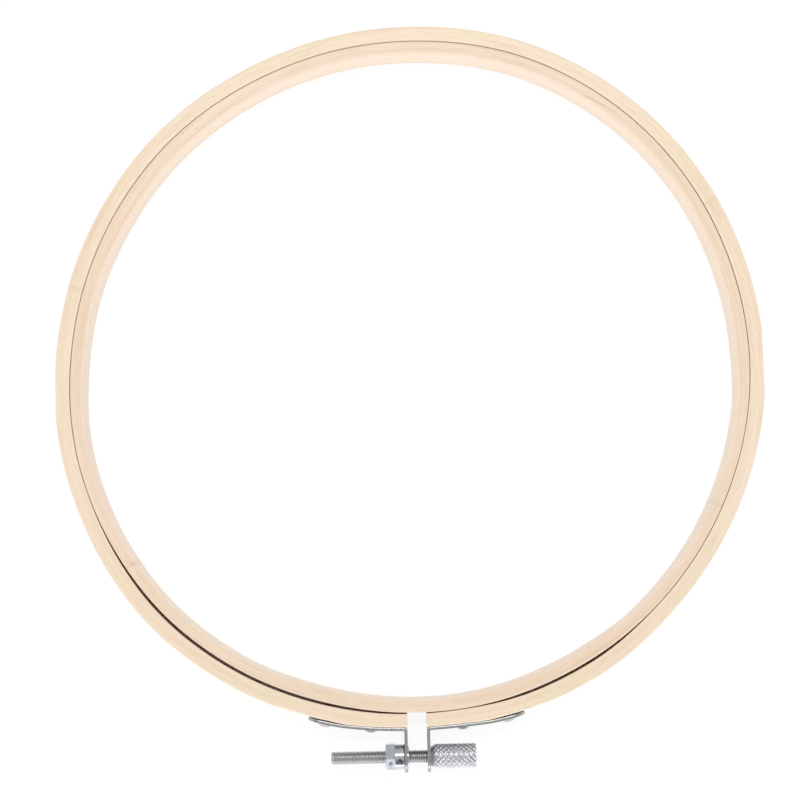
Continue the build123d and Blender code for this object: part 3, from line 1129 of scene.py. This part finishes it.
makeInnerRing(innerStrip)
print("inner ring made")
makeOuterRing(outerStrip, rivetLook)
print("outer ring made")
makeBracket(bracketLook, "left", -1, "outer_hoop", rivetLook)
makeBracket(bracketLook, "right", 1, "right_end", rivetLook)
makeRivets(rivetLook)
print("brackets and rivets made")
makeNut(nutLook)
makeRod(rodLook)
makeKnob(knobLook)
print("nut, rod and knob made")


# Floor, light and camera

studio = {
    "floorColour": (0.86, 0.86, 0.86),
    "floorWhite": 0.86,  # share of plain white that the eye and the metal see in the floor
    "floorGlow": 1.05,  # that white's strength
    "floorRadius": 4.0,
    "floorSides": 64,
    "walls": 1.54,
    "wallsSeen": 0.97,  # as the eye and the metal see them, where 1 is white
    "farWall": 0.56,  # the wall behind the hoop, towards +Y, as a share of the others
    "farWallSpan": (-0.2, 0.7),  # how far towards +Y a direction points where it begins and is full
    "ceiling": 0.52,
    "ceilingSpan": (0.3, 0.7),  # the same upwards
    # each softbox's place, size and power
    "key softbox": ((-0.15, -1.32, 0.23), (0.8, 0.34), 2.3),
    "top softbox": ((0.0, 0.42, 1.15), (0.5, 0.2), 4.2),
}


def seenRays(tree):
    # 1 for what the eye, the metal and glass see, and 0 for the light that falls on things
    rays = addNode(tree, "ShaderNodeLightPath").outputs
    seen = calc("MAXIMUM", rays["Is Camera Ray"], rays["Is Glossy Ray"])
    return calc("MAXIMUM", seen, rays["Is Transmission Ray"])


def emptyTree(holder):
    holder.use_nodes = True
    holder.node_tree.nodes.clear()
    return holder.node_tree


def makeFloor(look):
    radius, sides = look["floorRadius"], look["floorSides"]
    turns = [math.tau * i / sides for i in range(sides)]
    corners = [(radius * math.cos(a), radius * math.sin(a), hoop["low"]) for a in turns]
    floor = newPiece("floor", corners, [tuple(range(sides))])
    material = bpy.data.materials.new("pale floor")
    tree = emptyTree(material)
    matt = addNode(tree, "ShaderNodeBsdfDiffuse", {"Color": (*look["floorColour"], 1.0)}).outputs[0]
    white = addNode(tree, "ShaderNodeEmission", {"Strength": look["floorGlow"]}).outputs[0]
    share = times(seenRays(tree), look["floorWhite"])
    both = addNode(tree, "ShaderNodeMixShader", {0: share, 1: matt, 2: white}).outputs[0]
    addNode(tree, "ShaderNodeOutputMaterial", {"Surface": both})
    floor.data.materials.append(material)


def makeWorld(look):
    world = bpy.data.worlds.new("studio")
    bpy.context.scene.world = world
    tree = emptyTree(world)
    direction = addNode(tree, "ShaderNodeTexCoord").outputs["Generated"]
    parts = addNode(tree, "ShaderNodeSeparateXYZ", {0: direction}).outputs
    walls = mapRange(seenRays(tree), (0.0, 1.0), look["walls"], look["wallsSeen"])
    shares = mapRange(parts[1], look["farWallSpan"], 1.0, look["farWall"])
    strength = mapRange(parts[2], look["ceilingSpan"], times(walls, shares), look["ceiling"])
    sky = addNode(tree, "ShaderNodeBackground", {"Color": (1.0, 1.0, 1.0, 1.0), "Strength": strength})
    addNode(tree, "ShaderNodeOutputWorld", {"Surface": sky.outputs[0]})


def makeSoftbox(name, place, size, power):
    lamp = bpy.data.lights.new(name, "AREA")
    lamp.shape = "RECTANGLE"
    lamp.size, lamp.size_y = size
    lamp.energy = power
    light = linkObject(name, lamp)
    light.location = place
    light.rotation_euler = (-Vector(place)).to_track_quat("-Z", "Y").to_euler()


cameraLook = {
    "place": (-0.9 * mm, -54.5 * mm, 477.1 * mm),
    "target": (-2.87 * mm, -9.07 * mm, 5.0 * mm),
    "roll": -1.26,
    "lens": 72.48,
    "sensor": 36.0,
    "clip": (0.01, 20.0),
}


def makeCamera(look):
    camera = bpy.data.cameras.new("photo camera")
    camera.lens, camera.sensor_width = look["lens"], look["sensor"]
    camera.clip_start, camera.clip_end = look["clip"]
    forward = (Vector(look["target"]) - Vector(look["place"])).normalized()
    right = forward.cross(Vector((0, 1, 0))).normalized()
    up = right.cross(forward)
    roll = math.radians(look["roll"])
    across = right * math.cos(roll) + up * math.sin(roll)
    upwards = up * math.cos(roll) - right * math.sin(roll)
    turned = Matrix((across, upwards, -forward)).transposed().to_4x4()
    view = linkObject("photo camera", camera)
    view.matrix_world = Matrix.Translation(look["place"]) @ turned
    bpy.context.scene.camera = view


makeFloor(studio)
makeWorld(studio)
for name in ("key softbox", "top softbox"):
    makeSoftbox(name, *studio[name])
makeCamera(cameraLook)
bpy.context.scene.view_settings.view_transform = "Standard"
print("floor, light and camera made")
